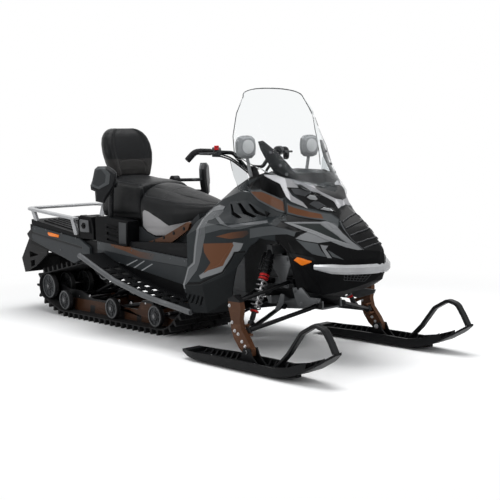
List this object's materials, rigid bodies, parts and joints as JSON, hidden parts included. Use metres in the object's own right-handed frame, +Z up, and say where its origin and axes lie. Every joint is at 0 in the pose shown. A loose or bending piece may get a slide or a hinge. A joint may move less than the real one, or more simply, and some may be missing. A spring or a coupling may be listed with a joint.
{
  "type": "snowmobile",
  "caption": "Two-seat utility snowmobile with a long wide track, sprung skis, cargo deck and tall windshield.",
  "frame": {"origin": "on the ground, under the middle of the overall length and width", "axes": "+X forward, +Y to the rider's left, +Z up"},
  "size_m": [3.433, 1.156, 1.451],
  "materials": {
    "graphite_paint": "satin moulded panels",
    "black_plastic": "fine-grained moulded plastic",
    "gloss_black": "polished moulding",
    "brown_paint": "powder coat",
    "black_steel": "powder-coated tube",
    "bright_metal": "brushed",
    "silver_paint": "satin",
    "cast_grey": "as cast",
    "seat_vinyl": "grained vinyl",
    "track_rubber": "moulded rubber",
    "soft_rubber": "moulded rubber",
    "clear_sheet": "clear polycarbonate",
    "lamp_lens": "clear lens over dark housing",
    "red_lens": "moulded lens",
    "ski_plastic": "dense moulded plastic",
    "mirror_shell": "moulded shell"
  },
  "bodies": {
    "chassis": {"track": "track_rubber", "idler_wheels": "soft_rubber", "rear_axle_wheels": "soft_rubber", "track_axles": "bright_metal", "drive_axle": "black_steel", "skid_rails": "brown_paint", "skid_front_arm": "black_steel", "skid_rear_arm": "black_steel", "skid_shocks": "black_steel", "tunnel": "black_steel", "running_boards": "black_steel", "side_rails": "silver_paint", "tunnel_panels": "graphite_paint", "rear_side_panels": "graphite_paint", "cargo_deck": "black_plastic", "rack": "bright_metal", "tail_light": "red_lens", "snow_flap": "soft_rubber", "tow_hitch": "black_steel", "driver_seat": "seat_vinyl", "passenger_seat": "seat_vinyl", "backrest": "seat_vinyl", "seat_base": "graphite_paint", "backrest_frame": "black_plastic", "side_boxes": "black_plastic", "frame_struts": "brown_paint", "passenger_grips": "black_plastic", "console": "black_plastic", "side_windows": "gloss_black", "headlights": "lamp_lens", "nose_grille": "gloss_black", "nose_trim": "silver_paint", "side_vents": "graphite_paint", "hood": "graphite_paint", "front_pan": "black_plastic", "belly_pan": "black_plastic", "nose_cone": "graphite_paint", "side_panels": "graphite_paint", "windshield": "clear_sheet", "windshield_frame": "black_plastic", "deck_latches": "black_plastic", "mirrors": "mirror_shell", "wind_deflectors": "clear_sheet", "front_bumper": "silver_paint", "front_arms": "black_steel", "front_frame": "cast_grey", "front_shocks": "black_steel", "engine": "cast_grey"},
    "steering": {"steering_column": "black_steel", "handlebar": "black_steel", "bar_grips": "soft_rubber", "bar_controls": "black_plastic"},
    "leg_left": {"leg_left": "brown_paint"},
    "ski_left": {"ski_left": "ski_plastic", "ski_loop_left": "cast_grey"},
    "tie_rod_left": {"tie_rod_left": "black_steel"},
    "leg_right": {"leg_right": "brown_paint"},
    "ski_right": {"ski_right": "ski_plastic", "ski_loop_right": "cast_grey"},
    "tie_rod_right": {"tie_rod_right": "black_steel"}
  },
  "joints": [
    {"name": "steering_turn", "type": "hinge", "parent": "chassis", "child": "steering", "pos_m": [0.935, 0, 0.345], "axis": [-0.4814, 0, 0.8765], "range_deg": [-32, 32]},
    {"name": "leg_left_turn", "type": "hinge", "parent": "chassis", "child": "leg_left", "pos_m": [0.9945, 0.451, 0.261], "axis": [-0.4564, -0.0487, 0.8884], "range_deg": [-28, 28]},
    {"name": "ski_left_tilt", "type": "hinge", "parent": "leg_left", "child": "ski_left", "pos_m": [1.088, 0.493, 0.094], "axis": [0, 1, 0], "range_deg": [-18, 12], "stiffness_Nm_per_rad": 220},
    {"name": "tie_rod_left_swing", "type": "hinge", "parent": "steering", "child": "tie_rod_left", "pos_m": [0.86926, 0.03, 0.3089], "axis": [-0.4814, 0, 0.8765], "range_deg": [-35, 35]},
    {"name": "leg_right_turn", "type": "hinge", "parent": "chassis", "child": "leg_right", "pos_m": [0.9945, -0.451, 0.261], "axis": [-0.4564, 0.0487, 0.8884], "range_deg": [-28, 28]},
    {"name": "ski_right_tilt", "type": "hinge", "parent": "leg_right", "child": "ski_right", "pos_m": [1.088, -0.493, 0.094], "axis": [0, 1, 0], "range_deg": [-18, 12], "stiffness_Nm_per_rad": 220},
    {"name": "tie_rod_right_swing", "type": "hinge", "parent": "steering", "child": "tie_rod_right", "pos_m": [0.86926, -0.03, 0.3089], "axis": [-0.4814, 0, 0.8765], "range_deg": [-35, 35]}
  ],
  "couplings": [
    {"joint": "leg_left_turn", "follows": "steering_turn", "ratio": 0.87},
    {"joint": "tie_rod_left_swing", "follows": "steering_turn", "ratio": -1.072},
    {"joint": "leg_right_turn", "follows": "steering_turn", "ratio": 0.87},
    {"joint": "tie_rod_right_swing", "follows": "steering_turn", "ratio": -1.072}
  ]
}
